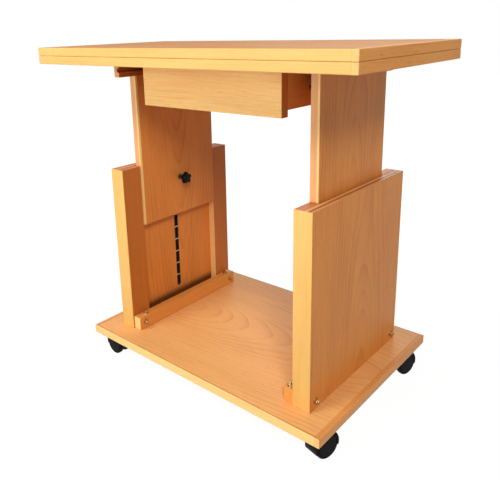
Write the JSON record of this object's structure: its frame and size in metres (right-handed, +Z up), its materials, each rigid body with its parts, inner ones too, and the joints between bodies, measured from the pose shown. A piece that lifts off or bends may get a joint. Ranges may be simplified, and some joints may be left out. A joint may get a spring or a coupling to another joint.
{
  "type": "art table",
  "caption": "Height-adjustable wooden art table on castors, with a folding leaf top, a drawer under it and slotted pedestal supports on a base board.",
  "frame": {"origin": "on the floor under the middle of the bounding box, with the table as pictured", "axes": "+X to the table's right as seen from its front, -Y to the front, +Z up"},
  "size_m": [0.726, 0.4506, 0.7043],
  "materials": {
    "veneered_board": "satin lacquer",
    "solid_wood": "satin lacquer",
    "black_plastic": "satin",
    "black_tread": "matt",
    "plated_steel": "zinc plated",
    "brass": "plain"
  },
  "bodies": {
    "base": {"base_board": "veneered_board", "left_outer_board": "veneered_board", "left_index_strip": "plated_steel", "left_front_post": "veneered_board", "left_rear_post": "veneered_board", "left_base_rail": "solid_wood", "left_front_cross_bolt": "plated_steel", "left_rear_cross_bolt": "plated_steel", "right_outer_board": "veneered_board", "right_index_strip": "plated_steel", "right_front_post": "veneered_board", "right_rear_post": "veneered_board", "right_base_rail": "solid_wood", "right_front_cross_bolt": "plated_steel", "right_rear_cross_bolt": "plated_steel", "front_right_castor_plate": "plated_steel", "back_right_castor_plate": "plated_steel", "front_left_castor_plate": "plated_steel", "back_left_castor_plate": "plated_steel"},
    "carriage": {"lower_leaf": "veneered_board", "left_sliding_panel": "veneered_board", "left_threaded_insert": "brass", "left_runner_rail": "solid_wood", "left_hinge_fixed_flap": "brass", "left_hinge_pin": "plated_steel", "right_sliding_panel": "veneered_board", "right_threaded_insert": "brass", "right_runner_rail": "solid_wood", "right_hinge_fixed_flap": "brass", "right_hinge_pin": "plated_steel"},
    "leaf": {"upper_leaf": "veneered_board", "left_hinge_moving_flap": "brass", "right_hinge_moving_flap": "brass"},
    "drawer": {"drawer_front": "veneered_board", "drawer_left_side": "solid_wood", "drawer_right_side": "solid_wood", "drawer_back": "solid_wood", "drawer_floor": "solid_wood"},
    "left_bar": {"left_leaf_support_bar": "solid_wood"},
    "left_stud": {"left_clamp_stud": "plated_steel"},
    "left_knob": {"left_star_knob": "black_plastic"},
    "right_bar": {"right_leaf_support_bar": "solid_wood"},
    "right_stud": {"right_clamp_stud": "plated_steel"},
    "right_knob": {"right_star_knob": "black_plastic"},
    "front_right_castor": {"front_right_castor_hood": "black_plastic", "front_right_castor_axle": "plated_steel"},
    "front_right_left_wheel": {"front_right_castor_left_wheel": "black_tread"},
    "front_right_right_wheel": {"front_right_castor_right_wheel": "black_tread"},
    "back_right_castor": {"back_right_castor_hood": "black_plastic", "back_right_castor_axle": "plated_steel"},
    "back_right_left_wheel": {"back_right_castor_left_wheel": "black_tread"},
    "back_right_right_wheel": {"back_right_castor_right_wheel": "black_tread"},
    "front_left_castor": {"front_left_castor_hood": "black_plastic", "front_left_castor_axle": "plated_steel"},
    "front_left_left_wheel": {"front_left_castor_left_wheel": "black_tread"},
    "front_left_right_wheel": {"front_left_castor_right_wheel": "black_tread"},
    "back_left_castor": {"back_left_castor_hood": "black_plastic", "back_left_castor_axle": "plated_steel"},
    "back_left_left_wheel": {"back_left_castor_left_wheel": "black_tread"},
    "back_left_right_wheel": {"back_left_castor_right_wheel": "black_tread"}
  },
  "joints": [
    {"name": "height_slide", "type": "slide", "parent": "base", "child": "carriage", "axis": [0, 0, 1], "range_m": [-0.186, 0]},
    {"name": "leaf_fold", "type": "hinge", "parent": "carriage", "child": "leaf", "pos_m": [0, 0.12755, 0.68815], "axis": [-1, 0, 0], "range_deg": [0, 180]},
    {"name": "drawer_slide", "type": "slide", "parent": "carriage", "child": "drawer", "axis": [0, -1, 0], "range_m": [0, 0.11]},
    {"name": "left_bar_slide", "type": "slide", "parent": "carriage", "child": "left_bar", "axis": [0, 1, 0], "range_m": [0, 0.15]},
    {"name": "right_bar_slide", "type": "slide", "parent": "carriage", "child": "right_bar", "axis": [0, 1, 0], "range_m": [-0.067, 0.083]},
    {"name": "left_clamp_travel", "type": "slide", "parent": "carriage", "child": "left_stud", "axis": [-1, 0, 0], "range_m": [0, 0.007]},
    {"name": "left_knob_turn", "type": "hinge", "parent": "left_stud", "child": "left_knob", "pos_m": [-0.2042, 0.01525, 0.4033], "axis": [-1, 0, 0], "range_deg": [0, 2520]},
    {"name": "right_clamp_travel", "type": "slide", "parent": "carriage", "child": "right_stud", "axis": [1, 0, 0], "range_m": [0, 0.007]},
    {"name": "right_knob_turn", "type": "hinge", "parent": "right_stud", "child": "right_knob", "pos_m": [0.2042, 0.01525, 0.4033], "axis": [1, 0, 0], "range_deg": [0, 2520]},
    {"name": "front_right_swivel", "type": "hinge", "parent": "base", "child": "front_right_castor", "pos_m": [0.266, -0.14675, 0], "axis": [0, 0, 1], "continuous": true},
    {"name": "front_right_left_roll", "type": "hinge", "parent": "front_right_castor", "child": "front_right_left_wheel", "pos_m": [0.26915, -0.13414, 0.025], "axis": [0.9703, -0.2419, 0], "continuous": true},
    {"name": "front_right_right_roll", "type": "hinge", "parent": "front_right_castor", "child": "front_right_right_wheel", "pos_m": [0.26915, -0.13414, 0.025], "axis": [0.9703, -0.2419, 0], "continuous": true},
    {"name": "back_right_swivel", "type": "hinge", "parent": "base", "child": "back_right_castor", "pos_m": [0.266, 0.17725, 0], "axis": [0, 0, 1], "continuous": true},
    {"name": "back_right_left_roll", "type": "hinge", "parent": "back_right_castor", "child": "back_right_left_wheel", "pos_m": [0.26915, 0.18986, 0.025], "axis": [0.9703, -0.2419, 0], "continuous": true},
    {"name": "back_right_right_roll", "type": "hinge", "parent": "back_right_castor", "child": "back_right_right_wheel", "pos_m": [0.26915, 0.18986, 0.025], "axis": [0.9703, -0.2419, 0], "continuous": true},
    {"name": "front_left_swivel", "type": "hinge", "parent": "base", "child": "front_left_castor", "pos_m": [-0.266, -0.14675, 0], "axis": [0, 0, 1], "continuous": true},
    {"name": "front_left_left_roll", "type": "hinge", "parent": "front_left_castor", "child": "front_left_left_wheel", "pos_m": [-0.27897, -0.14584, 0.025], "axis": [0.0698, 0.9976, 0], "continuous": true},
    {"name": "front_left_right_roll", "type": "hinge", "parent": "front_left_castor", "child": "front_left_right_wheel", "pos_m": [-0.27897, -0.14584, 0.025], "axis": [0.0698, 0.9976, 0], "continuous": true},
    {"name": "back_left_swivel", "type": "hinge", "parent": "base", "child": "back_left_castor", "pos_m": [-0.266, 0.17725, 0], "axis": [0, 0, 1], "continuous": true},
    {"name": "back_left_left_roll", "type": "hinge", "parent": "back_left_castor", "child": "back_left_left_wheel", "pos_m": [-0.2725, 0.18851, 0.025], "axis": [0.866, 0.5, 0], "continuous": true},
    {"name": "back_left_right_roll", "type": "hinge", "parent": "back_left_castor", "child": "back_left_right_wheel", "pos_m": [-0.2725, 0.18851, 0.025], "axis": [0.866, 0.5, 0], "continuous": true}
  ],
  "couplings": [
    {"joint": "left_clamp_travel", "follows": "left_knob_turn", "m_per_rad": 0.00015915},
    {"joint": "right_clamp_travel", "follows": "right_knob_turn", "m_per_rad": 0.00015915}
  ]
}
